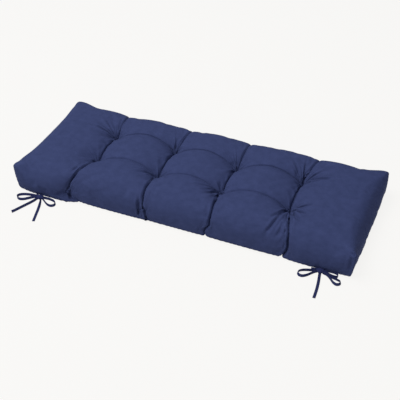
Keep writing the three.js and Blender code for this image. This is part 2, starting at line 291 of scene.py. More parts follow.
@dataclass(frozen=True)
class PaleFloor:
    """A pale studio floor that gives off a little light, so that shadows stay faint."""

    name: str = "pale_floor"
    colour: Colour = (0.060, 0.0595, 0.0585, 1.0)
    light: Colour = (1.0, 0.992, 0.975, 1.0)
    glow: float = 0.878
    roughness: float = 0.95

    def make(self) -> bpy.types.Material:
        """Build the material.

        Returns:
            The floor's material.
        """
        graph = Graph(self.name)
        values = {
            "Base Color": self.colour,
            "Roughness": self.roughness,
            "Specular IOR Level": 0.0,
            "Emission Color": self.light,
            "Emission Strength": self.glow,
        }
        for socket, value in values.items():
            graph.shader.inputs[socket].default_value = value
        return graph.material


# ---------------------------------------------------------------- the cushion's form


def swell(distance: Array, reach: Array | float) -> Array:
    """Rise steeply from 0 at no distance to 1 at the reach, as a quarter of an ellipse.

    Args:
        distance: Distances from a line.
        reach: Where the rise ends.

    Returns:
        The share that is reached.
    """
    share = np.clip(distance / reach, 0.0, 1.0)
    return np.sqrt(1 - (1 - share) ** 2)


def pinch(distance: Array, reach: Array | float) -> Array:
    """Return 1 on a line and 0 past the reach."""
    return 1 - swell(distance, reach)


def mix(a: Any, b: Any, share: Any) -> Any:
    """Return the value a share of the way from a to b."""
    return a + (b - a) * share


def arch(share: Array) -> Array:
    """Return 0 at both ends of a span and 1 at its middle."""
    return 4 * share * (1 - share)


def full_arch(share: Array) -> Array:
    """Return an arch with a flatter top and steeper ends."""
    return 1 - (2 * share - 1) ** 4


def smooth(share: Array) -> Array:
    """Return an eased share, level at 0 and at 1."""
    held = np.clip(share, 0.0, 1.0)
    return held * held * (3 - 2 * held)


@dataclass(frozen=True)
class TackColumn:
    """One column of two tacks and the crease that it draws, in metres.

    front_x and back_x are where the crease goes over the shoulders, front_foot and
    back_foot where it meets the seam, and sway how far it bends on the front wall. seam is
    how far it draws the seam in, and lean how far it turns aside on the front shoulder.
    """

    front_x: float
    front_foot: float
    sway: float
    front_tack: tuple[float, float]
    back_tack: tuple[float, float]
    back_x: float
    back_foot: float
    seam: float = 0.009
    lean: float = 0.0


@dataclass(frozen=True)
class Pillow:
    """How far one pillow swells past the edges, and how far its valleys bow to the back."""

    front: float
    back: float
    front_bow: float
    back_bow: float


COLUMNS = (
    TackColumn(-0.394, -0.380, -0.020, (-0.382, -0.070), (-0.387, 0.084), -0.394, -0.391,
               seam=-0.002, lean=-0.027),
    TackColumn(-0.117, -0.094, -0.016, (-0.129, -0.073), (-0.132, 0.084), -0.110, -0.115,
               seam=-0.004),
    TackColumn(0.145, 0.122, -0.014, (0.121, -0.076), (0.122, 0.070), 0.128, 0.127,
               lean=-0.008),
    TackColumn(0.420, 0.401, -0.002, (0.375, -0.076), (0.368, 0.082), 0.402, 0.399,
               seam=0.013),
)

PILLOWS = (
    Pillow(0.020, 0.009, 0.0, 0.0),
    Pillow(0.004, 0.006, 0.008, 0.022),
    Pillow(0.001, 0.008, 0.008, 0.017),
    Pillow(0.002, 0.008, 0.008, 0.016),
    Pillow(0.007, 0.006, 0.0, 0.0),
)


def across_columns(name: str) -> Array:
    """Return one field of every column of tacks, between 0 for each end of the cushion."""
    return np.array([0.0, *(getattr(column, name) for column in COLUMNS), 0.0])


@dataclass(frozen=True)
class CushionForm:
    """The filled form of the cushion, worked out from its sizes at panel coordinates.

    u counts the pillows from the left, v the strips from the front: both are whole
    numbers on a crease, a row of tacks or an edge. The values in fours are the corners':
    front left, back left, front right and back right. Sizes are in metres.

    An ear is a corner of the crown, which keeps its own height and stands out by its
    push; a foot is the same corner at the seam. Near a corner the shoulder is tighter: it
    fades to shoulder_least of its reach. A crease is a narrow groove in a wide dip, and
    each tack is at the bottom of a dimple.
    """

    left_x: float = -0.639
    right_x: float = 0.637
    corner_y: float = 0.230
    left_bulge: float = 0.005
    right_bulge: float = 0.0045
    crown: float = 0.129
    end_fall: float = 0.008
    front_fall: float = 0.005
    back_fall: float = 0.001
    pillow_fall: float = 0.004
    ear_heights: Corners = (0.107, 0.106, 0.105, 0.101)
    ear_pushes: Corners = (0.005, 0.005, 0.0090, 0.0045)
    ear_reach: float = 0.060
    front_tip: float = 0.018
    back_tip: float = 0.035
    foot_pushes: Corners = (0.004, 0.004, 0.0025, 0.002)
    foot_tip: float = 0.024
    wall_top: float = 0.052
    shoulder: float = 0.054
    shoulder_end: float = 0.032
    shoulder_fades: Corners = (0.075, 0.130, 0.070, 0.090)
    fade_across: float = 1.7
    shoulder_least: float = 0.14
    corner_rounding: float = 0.12
    seam_height: float = 0.005
    seam_inset: float = 0.002
    rim: float = 0.014
    row_y: float = 0.077
    groove: float = 0.015
    groove_reach: float = 0.011
    groove_front: float = 0.014
    groove_back: float = 0.005
    groove_edge_reach: float = 0.011
    lean_power: float = 9.0
    dip_middle: float = 0.018
    dip_edge: float = 0.002
    dip_reach: float = 0.060
    dip_power: float = 1.2
    dip_pull: float = 0.060
    pull_power: float = 1.6
    dimple: float = 0.028
    dimple_reach: float = 0.045
    row_middle: float = 0.011
    row_reach: float = 0.040
    row_end_reach: float = 0.090
    row_line: float = 0.0020
    row_line_reach: float = 0.0100
    row_soft: float = 0.0035
    under_crease: float = 0.009
    under_crease_reach: float = 0.024
    under_row: float = 0.004
    under_row_reach: float = 0.020
    under_tack: float = 0.008
    under_tack_reach: float = 0.034
    draw_in_reach: float = 0.100

    def net(self, under: bool) -> Array:
        """Return the corners of the panels in plan.

        Args:
            under: Whether the net is the underside's, whose creases start at their feet.

        Returns:
            An array of 6 columns of 4 points of x and y.
        """
        y, row = self.corner_y, self.row_y
        columns = [
            [
                (c.front_foot if under else c.front_x, -y),
                c.front_tack,
                c.back_tack,
                (c.back_foot if under else c.back_x, y),
            ]
            for c in COLUMNS
        ]
        ends = [[(x, -y), (x, -row), (x, row), (x, y)] for x in (self.left_x, self.right_x)]
        return np.array([ends[0], *columns, ends[1]])

    def place(self, under: bool, u: Array, v: Array) -> dict[str, Array]:
        """Find where panel coordinates lie in plan, and how far from every line.

        Args:
            under: Whether they lie on the underside's net.
            u: Coordinates along the cushion.
            v: Coordinates from front to back.

        Returns:
            By name: x and y, the shares s and t of the panel that they have passed, its
            row, whether it is at an end, the nearest crease's draw on the seam, the
            nearest corner, and the distances.
        """
        net = self.net(under)
        last = len(PILLOWS) - 1
        column = np.clip(np.floor(u).astype(int), 0, last)
        row = np.clip(np.floor(v).astype(int), 0, 2)
        s, t = u - column, v - row
        a, b = net[column, row], net[column + 1, row]
        c, d = net[column, row + 1], net[column + 1, row + 1]
        left = mix(a, c, t[:, None])
        right = mix(b, d, t[:, None])
        width = right[:, 0] - left[:, 0]
        height = mix(c[:, 1], d[:, 1], s) - mix(a[:, 1], b[:, 1], s)
        x, y = mix(left, right, s[:, None]).T

        at_left, at_right = column == 0, column == last
        front_row, middle_row, back_row = row == 0, row == 1, row == 2
        along = full_arch((y + self.corner_y) / (2 * self.corner_y))
        bulge = np.where(at_right, self.right_bulge * s, 0)
        bulge = bulge - np.where(at_left, self.left_bulge * (1 - s), 0)
        sizes = np.array([(p.front, p.back, p.front_bow, p.back_bow) for p in PILLOWS])
        front, back, front_bow, back_bow = sizes[column].T
        swelled = np.where(back_row, back * t, 0) - np.where(front_row, front * (1 - t), 0)
        front_share = np.select([front_row, middle_row], [t, 1 - t], 0)
        back_share = np.select([middle_row, back_row], [t, 1 - t], 0)
        bow = arch(s) * (front_bow * front_share + back_bow * back_share)
        leans = np.zeros(len(COLUMNS) + 2) if under else across_columns("lean")
        over = np.where(front_row, (1 - t) ** self.lean_power, 0)
        x = x + along * bulge + over * mix(leans[column], leans[column + 1], s)
        y = y + full_arch(s) * swelled + bow

        inward_x = np.minimum(x - self.left_x, self.right_x - x)
        inward_y = self.corner_y - np.abs(y)
        to_left = np.where(at_left, np.inf, s * width)
        to_crease = np.minimum(to_left, np.where(at_right, np.inf, (1 - s) * width))
        to_row = np.select([front_row, middle_row], [1 - t, np.minimum(t, 1 - t)], t) * height
        return {
            "x": x,
            "y": y,
            "s": s,
            "t": t,
            "row": row,
            "is_end": at_left | at_right,
            "seam": across_columns("seam")[column + (s > 0.5)],
            "corner": 2 * (x > 0) + (y > 0),
            "inward_x": inward_x,
            "inward_y": inward_y,
            "to_corner": np.hypot(inward_x, inward_y),
            "to_crease": to_crease,
            "to_row": to_row,
            "to_tack": np.hypot(to_crease, to_row),
            "to_edge_x": np.select([at_left, at_right], [s, 1 - s], np.inf) * width,
            "to_edge_y": np.select([front_row, back_row], [t, 1 - t], np.inf) * height,
        }

    def crease_depth(self, at: dict[str, Array]) -> Array:
        """Return how deep the columns of tacks draw the top in.

        Args:
            at: Where the points lie, from place().

        Returns:
            The depths.
        """
        row, t, to_crease = at["row"], at["t"], at["to_crease"]
        from_tack = np.select([row == 0, row == 1], [1 - t, 0.0], t) * (self.corner_y - self.row_y)
        inland = np.exp(-((from_tack / self.dip_pull) ** self.pull_power))
        edge = np.where(row == 2, self.groove_back, self.groove_front)
        groove = mix(edge, self.groove, inland)
        groove_reach = mix(self.groove_edge_reach, self.groove_reach, inland)
        dip = mix(self.dip_edge, self.dip_middle, inland)
        return (
            groove * pinch(to_crease, groove_reach)
            + dip * np.exp(-((to_crease / self.dip_reach) ** self.dip_power))
            + self.dimple * np.exp(-at["to_tack"] / self.dimple_reach)
        )

    def row_share(self, at: dict[str, Array]) -> Array:
        """Return the share of a row's valley that remains as it fades towards the ends."""
        return np.where(at["is_end"], pinch(at["to_crease"], self.row_end_reach), 1.0)

    def row_depth(self, at: dict[str, Array]) -> Array:
        """Return how deep the rows of tacks draw the top in, on top of the creases."""
        away = np.hypot(at["to_row"], self.row_soft) - self.row_soft
        valley = self.row_middle * pinch(away, self.row_reach)
        line = self.row_line * pinch(away, self.row_line_reach)
        return self.row_share(at) * (valley + line)

    def top(self, u: Array, v: Array) -> Array:
        """Return points of the top skin, out to where the walls are upright.

        Args:
            u: Coordinates along the cushion.
            v: Coordinates from front to back.

        Returns:
            The points, one in each row.
        """
        at = self.place(False, u, v)
        x, y, to_corner = at["x"], at["y"], at["to_corner"]
        side = (y / self.corner_y) ** 2 * np.where(y > 0, self.back_fall, self.front_fall)
        fall = self.end_fall * (x / self.right_x) ** 4 + side
        pillow = np.where(at["is_end"], self.row_share(at), 1 - arch(at["s"]))
        crown = self.crown - fall - self.pillow_fall * pillow
        corner_crown = self.crown - self.end_fall - self.front_fall
        ear_height = np.array(self.ear_heights)[at["corner"]]
        level = crown - (corner_crown - ear_height) * np.exp(-to_corner / self.ear_reach)
        fade = np.array(self.shoulder_fades)[at["corner"]]
        inward = np.hypot(self.fade_across * at["inward_x"], at["inward_y"])
        faded = np.exp(-((inward / fade) ** 2))
        rounding = 1 - (1 - self.corner_rounding) * faded
        drop = (level - self.wall_top) * rounding
        reach = mix(self.shoulder_least, 1.0, rounding)
        upright = swell(at["to_edge_y"], self.shoulder * reach)
        shoulder = drop * (1 - upright * swell(at["to_edge_x"], self.shoulder_end * reach))
        crease = self.crease_depth(at)
        level_share = np.sqrt(1 - upright**2)
        tip = np.where(y > 0, self.back_tip, self.front_tip)
        ear = np.array(self.ear_pushes)[at["corner"]] * np.exp(-((to_corner / tip) ** 2))
        return np.column_stack(
            [
                x + np.sign(x) * ear,
                y - np.sign(y) * (crease * level_share - ear),
                level - shoulder - crease * upright - self.row_depth(at),
            ]
        )

    def under(self, u: Array, v: Array) -> Array:
        """Return points of the underside: flat but for its rim and what the tacks draw up.

        Args:
            u: Coordinates along the cushion.
            v: Coordinates from front to back.

        Returns:
            The points, one in each row.
        """
        at = self.place(True, u, v)
        x, y = at["x"], at["y"]
        rim = self.seam_height * pinch(np.minimum(at["to_edge_x"], at["to_edge_y"]), self.rim)
        groove = self.under_crease * pinch(at["to_crease"], self.under_crease_reach)
        valley = self.under_row * self.row_share(at) * pinch(at["to_row"], self.under_row_reach)
        tack = self.under_tack * np.maximum(1 - at["to_tack"] / self.under_tack_reach, 0)
        follow = np.maximum(1 - at["to_edge_y"] / self.draw_in_reach, 0)
        draw_in = at["seam"] * pinch(at["to_crease"], self.groove_edge_reach) * follow
        push = np.array(self.foot_pushes)[at["corner"]]
        foot = push * np.exp(-((at["to_corner"] / self.foot_tip) ** 2))
        return np.column_stack(
            [
                x * (1 - self.seam_inset / self.right_x) + np.sign(x) * foot,
                y * (1 - self.seam_inset / self.corner_y) - np.sign(y) * (draw_in - foot),
                np.maximum(rim, groove + valley + tack),
            ]
        )

    def wall(self, u: Array, v: Array, level: Array) -> Array:
        """Return points of the walls.

        Args:
            u: Coordinates along the cushion.
            v: Coordinates from front to back.
            level: From 0 at the top of the wall to 1 at the seam.

        Returns:
            The points, one in each row.
        """
        top, seam = self.top(u, v), self.under(u, v)
        sways = across_columns("sway")
        column = np.clip(np.floor(u).astype(int), 0, len(PILLOWS) - 1)
        sway = arch(level) * mix(sways[column], sways[column + 1], u - column) * (v == 0)
        inset = level**2
        return np.column_stack(
            [
                mix(top[:, 0], seam[:, 0], inset) + sway,
                mix(top[:, 1], seam[:, 1], inset),
                mix(top[:, 2], seam[:, 2], level),
            ]
        )


# ---------------------------------------------------------------- helpers for pieces


def add_object(name: str, data: bpy.types.ID) -> bpy.types.Object:
    """Put a new object in the scene.

    Args:
        name: The object's name.
        data: Its mesh, lamp or lens.

    Returns:
        The object.
    """
    made = bpy.data.objects.new(name, data)
    bpy.context.scene.collection.objects.link(made)
    return made


def add_mesh(name: str, points: Array, faces: list[tuple[int, ...]]) -> bpy.types.Object:
    """Put a new mesh in the scene.

    Args:
        name: The name of the object and its mesh.
        points: Its vertices, one in each row.
        faces: The numbers of each face's vertices.

    Returns:
        The object.
    """
    mesh = bpy.data.meshes.new(name)
    mesh.from_pydata(points.tolist(), [], faces)
    mesh.update()
    return add_object(name, mesh)


def only(piece: bpy.types.Object) -> None:
    """Select one object alone and make it active."""
    bpy.ops.object.select_all(action="DESELECT")
    piece.select_set(True)
    bpy.context.view_layer.objects.active = piece


def apply_modifier(piece: bpy.types.Object, kind: str, **settings: Any) -> None:
    """Add a modifier with its settings and apply it.

    Args:
        piece: The object.
        kind: The modifier's type.
        settings: Its attributes.
    """
    modifier = piece.modifiers.new(kind.lower(), kind)
    for key, value in settings.items():
        setattr(modifier, key, value)
    only(piece)
    bpy.ops.object.modifier_apply(modifier=modifier.name)


def read_points(mesh: bpy.types.Mesh) -> Array:
    """Return a mesh's vertices, one in each row."""
    flat = np.empty(len(mesh.vertices) * 3)
    mesh.vertices.foreach_get("co", flat)
    return flat.reshape(-1, 3)


def write_points(mesh: bpy.types.Mesh, points: Array) -> None:
    """Move a mesh's vertices to points, one in each row."""
    mesh.vertices.foreach_set("co", points.ravel())
    mesh.update()


def lay_uv(mesh: bpy.types.Mesh, cloth: Array) -> None:
    """Give a mesh its cloth coordinates.

    Args:
        mesh: The mesh.
        cloth: Metres across and along the cloth, for each vertex.
    """
    layer = mesh.uv_layers.new(name=UV_MAP)
    corners = np.empty(len(mesh.loops), dtype=np.int32)
    mesh.loops.foreach_get("vertex_index", corners)
    layer.data.foreach_set("uv", cloth[corners].ravel())


def run_of(path: Array) -> Array:
    """Return how far along a path each of its points is, from 0."""
    return np.concatenate([[0.0], np.cumsum(np.linalg.norm(np.diff(path, axis=0), axis=1))])


def wander(turn: Array, *waves: tuple[float, float, float]) -> Array:
    """Return a sum of sines, each given by its height, its length per radian and its start."""
    return sum(height * np.sin(turn / length + start) for height, length, start in waves)


# ---------------------------------------------------------------- folds


class FoldKind(Enum):
    """What a fold does to the cloth on either side of its line."""

    TROUGH = "a valley with a roll on either side"
    RIDGE = "a raised roll"


@dataclass(frozen=True)
class Fold:
    """One fold along a line of points, in metres.

    fade_in and fade_out are the shares of its length over which it starts and dies away,
    and widen is how much wider it gets on the way. Its rolls stand roll_at widths off its
    line, roll_height times as high as it is deep.
    """

    points: tuple[tuple[float, float, float], ...]
    depth: float
    width: float = 0.0050
    kind: FoldKind = FoldKind.TROUGH
    fade_in: float = 0.12
    fade_out: float = 0.55
    widen: float = 0.5
    roll_at: float = 1.9
    roll_height: float = 0.35
    reach: float = 6.0

    def lift(self, points: Array, normals: Array) -> tuple[Array, Array]:
        """Return how far the fold moves the skin's points out along their normals.

        Args:
            points: The skin's points.
            normals: Their normals.

        Returns:
            The numbers of the points that the fold reaches, and how far each moves.
        """
        line = np.array(self.points)
        reach = self.reach * self.width
        near = np.all((points > line.min(0) - reach) & (points < line.max(0) + reach), axis=1)
        chosen = np.nonzero(near)[0]
        spot, out = points[chosen], normals[chosen]
        starts = run_of(line)
        best = np.full(len(chosen), np.inf)
        along = np.zeros(len(chosen))
        for a, b, start, step in zip(line, line[1:], starts, np.diff(starts)):
            run = (b - a) / step
            share = np.clip((spot - a) @ run / step, 0, 1)
            away = spot - (a + share[:, None] * (b - a))
            away -= np.sum(away * out, axis=1)[:, None] * out
            distance = np.linalg.norm(away, axis=1)
            closer = distance < best
            best = np.where(closer, distance, best)
            along = np.where(closer, (start + share * step) / starts[-1], along)
        width = self.width * (1 + self.widen * along)
        strength = smooth(along / self.fade_in) * smooth((1 - along) / self.fade_out)
        return chosen, self.depth * strength * self._profile(best / width)

    def _profile(self, share: Array) -> Array:
        """Return the fold's section at distances from its line, in widths."""
        core = np.exp(-(share**2))
        if self.kind is FoldKind.RIDGE:
            return core
        return self.roll_height * np.exp(-((share - self.roll_at) ** 2)) - core


@dataclass(frozen=True)
class Pleats:
    """Fine pleats that run out from a tack all round, in metres.

    counts are the numbers of pleats in a turn that are laid over each other, bend how
    unevenly they are spaced, and shift how far one tack's differ from the next one's. Within
    calm of the tack, the folds that cross it keep calm_share of their depth.
    """

    depth: float = 0.0026
    reach: float = 0.034
    clear: float = 0.010
    calm: float = 0.020
    calm_share: float = 0.12
    counts: tuple[int, ...] = (9, 14, 21)
    bend: float = 0.8
    shift: float = 1.7
    first_weight: float = 1.5

    def lift(self, points: Array, tack: tuple[float, float], seed: int) -> Array:
        """Return how far the pleats move the skin's points.

        Args:
            points: The skin's points.
            tack: Where the tack is in plan.
            seed: What makes one tack's pleats differ from another's.
        """
        x, y = points[:, 0] - tack[0], points[:, 1] - tack[1]
        away, turn = np.hypot(x, y), np.arctan2(y, x)
        bend = self.bend * np.sin(2 * turn + seed)
        waves = sum(
            np.cos(count * turn + self.shift * seed * (i + 1) + bend) / (i + self.first_weight)
            for i, count in enumerate(self.counts)
        )
        return -self.depth * waves * np.exp(-away / self.reach) * (1 - np.exp(-away / self.clear))


@dataclass(frozen=True)
class Fan:
    """Fine folds that spread from a tack to one side of it.

    row is 0 for the front tack of the column and 1 for the back one. turn, spread and
    step, from one fold to the next, are in degrees from the +X side, and the depth, the
    reach and the clear space at the tack in metres. sharp makes the valleys narrower than
    the ridges. sway and shake set the folds out of step, and ragged ends them at different
    reaches: each is a height and a length of wander().
    """

    column: int
    row: int
    turn: float
    spread: float
    reach: float
    depth: float = 0.0028
    step: float = 12.5
    clear: float = 0.009
    sharp: float = 0.35
    sway: tuple[float, float] = (1.8, 9.0)
    shake: tuple[float, float] = (0.6, 4.1)
    ragged: tuple[float, float] = (0.25, 5.3)
    end_power: float = 2.4

    def lift(self, points: Array) -> Array:
        """Return how far the fan moves the skin's points.

        Args:
            points: The skin's points.
        """
        column = COLUMNS[self.column]
        tack = (column.front_tack, column.back_tack)[self.row]
        x, y = points[:, 0] - tack[0], points[:, 1] - tack[1]
        away = np.hypot(x, y)
        turn = (np.degrees(np.arctan2(y, x)) - self.turn + 180) % 360 - 180
        astray = wander(turn, (*self.sway, self.column), (*self.shake, self.row))
        phase = math.tau * (turn + astray) / self.step
        folds = np.cos(phase) - self.sharp * np.cos(2 * phase)
        ends = 1 - self.ragged[0] + wander(turn, (*self.ragged, 2 * self.column))
        near = 1 - np.exp(-((away / self.clear) ** 2))
        far = np.exp(-((away / (self.reach * ends)) ** self.end_power))
        return self.depth * folds * near * far * np.exp(-((turn / self.spread) ** 4))


@dataclass(frozen=True)
class Puckers:
    """The small puckers where the cover is sewn to its underside, in metres."""

    depth: float = 0.0011
    step: float = 0.019
    seam: float = 0.005
    height: float = 0.018
    sway: tuple[float, float, float] = (2.1, 1 / 31, 0.0)
    shake: tuple[float, float, float] = (1.0, 1 / 83, 0.0)

    def lift(self, points: Array) -> Array:
        """Return how far the puckers move the skin's points."""
        along = points[:, 0] + points[:, 1]
        turn = math.tau * along / self.step + wander(along, self.sway, self.shake)
        return self.depth * np.sin(turn) * pinch(np.abs(points[:, 2] - self.seam), self.height)


FANS = (
    Fan(0, 0, -158.0, 24.0, 0.060, step=19.0),
    Fan(0, 1, 170.0, 28.0, 0.095, depth=0.0070, step=19.0),
    Fan(0, 1, 108.0, 16.0, 0.050, depth=0.0020),
    Fan(1, 0, -149.0, 24.0, 0.085, depth=0.0095, step=20.0, clear=0.020),
    Fan(1, 0, 172.0, 12.0, 0.035),
    Fan(1, 1, 118.0, 22.0, 0.060),
    Fan(1, 1, -160.0, 16.0, 0.035),
    Fan(2, 0, -147.0, 30.0, 0.082, depth=0.0095, step=20.0, clear=0.024),
    Fan(2, 0, -110.0, 22.0, 0.050),
    Fan(2, 1, 130.0, 26.0, 0.060, depth=0.0033),
    Fan(2, 1, -158.0, 16.0, 0.040, depth=0.0015),
    Fan(3, 0, -86.0, 32.0, 0.075, depth=0.0037),
    Fan(3, 0, 0.0, 34.0, 0.078, depth=0.0065, step=19.0),
    Fan(3, 1, 121.0, 26.0, 0.080, depth=0.00475, step=14.0, clear=0.022),
    Fan(3, 1, 33.0, 30.0, 0.095, depth=0.0065, step=16.0, clear=0.026),
)

FOLDS = (
    Fold(((-0.390, 0.082, 0.080), (-0.425, 0.066, 0.108), (-0.462, 0.050, 0.122)), 0.0045),
    Fold(((-0.392, 0.078, 0.080), (-0.418, 0.056, 0.106), (-0.446, 0.032, 0.120)), 0.0030),
    Fold(((-0.393, 0.117, 0.085), (-0.399, 0.139, 0.101), (-0.405, 0.179, 0.113)), 0.0040),
    Fold(((-0.375, 0.121, 0.096), (-0.385, 0.163, 0.099)), 0.0030, fade_in=0.3),
    Fold(((-0.384, -0.074, 0.080), (-0.394, -0.101, 0.091), (-0.414, -0.120, 0.113)), 0.0045),
    Fold(((-0.403, -0.159, 0.109), (-0.409, -0.195, 0.111), (-0.415, -0.211, 0.102)), 0.0035,
         fade_in=0.3),
    Fold(((-0.412, -0.231, 0.060), (-0.418, -0.223, 0.027), (-0.414, -0.231, 0.006)), 0.0080,
         width=0.0042, fade_in=0.3, fade_out=0.2),
    Fold(((-0.424, -0.236, 0.051), (-0.457, -0.239, 0.030), (-0.492, -0.240, 0.024)), 0.0025),
    Fold(((-0.139, 0.100, 0.080), (-0.142, 0.115, 0.094), (-0.148, 0.155, 0.116)), 0.0045),
    Fold(((-0.139, 0.089, 0.070), (-0.156, 0.095, 0.085), (-0.168, 0.105, 0.100)), 0.0040),
    Fold(((-0.132, -0.078, 0.070), (-0.145, -0.129, 0.109), (-0.170, -0.151, 0.121)), 0.0045),
    Fold(((-0.138, -0.070, 0.071), (-0.152, -0.115, 0.110), (-0.176, -0.129, 0.118)), 0.0035),
    Fold(((-0.131, -0.096, 0.080), (-0.136, -0.137, 0.106), (-0.154, -0.162, 0.118)), 0.0040),
    Fold(((-0.135, -0.226, 0.014), (-0.131, -0.229, 0.060), (-0.132, -0.218, 0.096)), 0.0080,
         width=0.0038, fade_in=0.15, fade_out=0.3),
    Fold(((-0.100, -0.228, 0.006), (-0.108, -0.226, 0.045), (-0.118, -0.217, 0.070)), 0.0120,
         width=0.0044, fade_in=0.1, fade_out=0.2, widen=-0.2),
    Fold(((0.108, 0.077, 0.073), (0.098, 0.083, 0.087), (0.090, 0.093, 0.099)), 0.0030,
         fade_in=0.4),
    Fold(((0.115, 0.057, 0.079), (0.111, 0.018, 0.100), (0.105, -0.005, 0.110)), 0.0020),
    Fold(((0.116, -0.080, 0.068), (0.103, -0.121, 0.110), (0.081, -0.140, 0.120)), 0.0050),
    Fold(((0.120, -0.097, 0.079), (0.114, -0.148, 0.114), (0.102, -0.176, 0.119)), 0.0045),
    Fold(((0.112, -0.074, 0.070), (0.098, -0.098, 0.100), (0.071, -0.094, 0.110)), 0.0045),
    Fold(((0.115, -0.066, 0.072), (0.102, -0.052, 0.095), (0.090, -0.040, 0.104)), 0.0035),
    Fold(((0.118, -0.062, 0.074), (0.109, -0.045, 0.095), (0.100, -0.028, 0.106)), 0.0030),
    Fold(((0.144, -0.154, 0.109), (0.131, -0.153, 0.089), (0.129, -0.158, 0.101)), 0.0050,
         fade_in=0.3, fade_out=0.3),
    Fold(((0.362, 0.086, 0.070), (0.342, 0.101, 0.097), (0.328, 0.131, 0.118)), 0.0045),
    Fold(((0.367, 0.092, 0.070), (0.366, 0.120, 0.094), (0.352, 0.165, 0.119)), 0.0045),
    Fold(((0.360, 0.084, 0.070), (0.341, 0.087, 0.083), (0.326, 0.092, 0.096)), 0.0035),
    Fold(((0.385, 0.070, 0.090), (0.420, 0.080, 0.112), (0.457, 0.093, 0.120),
          (0.488, 0.092, 0.123)), 0.0062, width=0.0045, fade_out=0.4),
    Fold(((0.384, 0.052, 0.098), (0.412, 0.040, 0.118), (0.442, 0.046, 0.123),
          (0.477, 0.056, 0.123)), 0.0055, width=0.0045, fade_out=0.4),
    Fold(((0.384, 0.078, 0.094), (0.414, 0.104, 0.114), (0.446, 0.126, 0.118)), 0.0042,
         width=0.0045),
    Fold(((0.372, -0.080, 0.072), (0.363, -0.148, 0.119), (0.348, -0.170, 0.120),
          (0.339, -0.190, 0.116)), 0.0088, width=0.0045, fade_out=0.4),
    Fold(((0.369, -0.150, 0.118), (0.355, -0.203, 0.108), (0.343, -0.220, 0.089),
          (0.338, -0.229, 0.065)), 0.0085, width=0.0045, fade_out=0.5),
    Fold(((0.378, -0.170, 0.117), (0.364, -0.211, 0.100), (0.354, -0.228, 0.072)), 0.0040),
    Fold(((0.388, -0.175, 0.113), (0.385, -0.213, 0.097), (0.366, -0.229, 0.065)), 0.0035),
    Fold(((0.385, -0.086, 0.085), (0.401, -0.118, 0.102), (0.426, -0.145, 0.120),
          (0.449, -0.162, 0.120)), 0.0100, width=0.0048, fade_out=0.4),
    Fold(((0.383, -0.080, 0.082), (0.424, -0.105, 0.114), (0.457, -0.108, 0.121),
          (0.480, -0.107, 0.121)), 0.0060, width=0.0042),
    Fold(((0.386, -0.100, 0.088), (0.397, -0.126, 0.096), (0.416, -0.185, 0.107),
          (0.424, -0.209, 0.095)), 0.0040),
    Fold(((0.402, -0.165, 0.094), (0.408, -0.185, 0.088), (0.415, -0.214, 0.073),
          (0.409, -0.213, 0.025)), 0.0040),
    Fold(((0.412, -0.149, 0.113), (0.429, -0.197, 0.110), (0.436, -0.221, 0.085)), 0.0022,
         kind=FoldKind.RIDGE),
    Fold(((0.637, -0.208, 0.103), (0.637, -0.231, 0.089), (0.630, -0.229, 0.031)), 0.0045,
         width=0.0040, fade_in=0.3, fade_out=0.2),
)


# ---------------------------------------------------------------- the cushion as a piece


def eased(count: int, gather: float) -> Array:
    """Return fractions of a span that crowd together at both ends.

    Args:
        count: How many steps the span has.
        gather: From 0, even, to just under 1, crowded.

    Returns:
        The fractions from 0 up to, but not including, 1.
    """
    share = np.arange(count) / count
    return share - gather * np.sin(math.tau * share) / math.tau


def between(grid: Array, axis: int) -> Array:
    """Double a grid's steps along one axis, with smooth values between the old ones.

    Args:
        grid: Values on a grid.
        axis: The axis to refine.
    """
    old = np.moveaxis(grid, axis, 0)
    held = np.concatenate([old[:1], old, old[-1:]])
    middle = (9 * (held[1:-2] + held[2:-1]) - held[:-3] - held[3:]) / 16
    new = np.empty((2 * len(old) - 1, *old.shape[1:]))
    new[::2], new[1::2] = old, middle
    return np.moveaxis(new, 0, axis)


@dataclass(frozen=True)
class Swelling:
    """How the filling swells the cover between its creases, its tacks and its seams.

    The cover is held within held_within of a crease, and comes loose over loosens_over
    beyond that. No point moves further than cap.
    """

    frames: int = 20
    pressure: float = 4.0
    slack: float = 0.02
    mass: float = 0.2
    stretch: float = 20.0
    squash: float = 10.0
    bend: float = 0.3
    damping: float = 8.0
    air: float = 3.0
    quality: int = 6
    held_within: float = 0.002
    loosens_over: float = 0.010
    cap: float = 0.0045

    def run(self, skin: bpy.types.Object, held: Array) -> Array:
        """Run the cloth simulation.

        Args:
            skin: The cover, as a closed skin.
            held: How firmly each of its vertices is held, from 0 to 1.

        Returns:
            Where the simulation leaves its vertices.
        """
        group = skin.vertex_groups.new(name="held")
        for number, weight in enumerate(held.tolist()):
            if weight > 0.0:
                group.add([number], weight, "REPLACE")
        scene = bpy.context.scene
        scene.frame_start, scene.frame_end = 1, self.frames
        only(skin)
        bpy.ops.object.modifier_add(type="CLOTH")
        cloth = skin.modifiers[-1]
        settings = cloth.settings
        settings.quality = self.quality
        settings.mass = self.mass
        settings.tension_stiffness = self.stretch
        settings.compression_stiffness = self.squash
        settings.shear_stiffness = self.squash
        settings.bending_stiffness = self.bend
        settings.tension_damping = self.damping
        settings.compression_damping = self.damping
        settings.air_damping = self.air
        settings.vertex_group_mass = group.name
        settings.pin_stiffness = 1.0
        settings.shrink_min = -self.slack
        settings.use_pressure = True
        settings.uniform_pressure_force = self.pressure
        settings.effector_weights.gravity = 0.0
        cloth.collision_settings.use_collision = False
        cloth.point_cache.frame_start, cloth.point_cache.frame_end = 1, self.frames
        for frame in range(1, self.frames + 1):
            scene.frame_set(frame)
        seen = skin.evaluated_get(bpy.context.evaluated_depsgraph_get())
        points = read_points(seen.data)
        scene.frame_set(1)
        return points


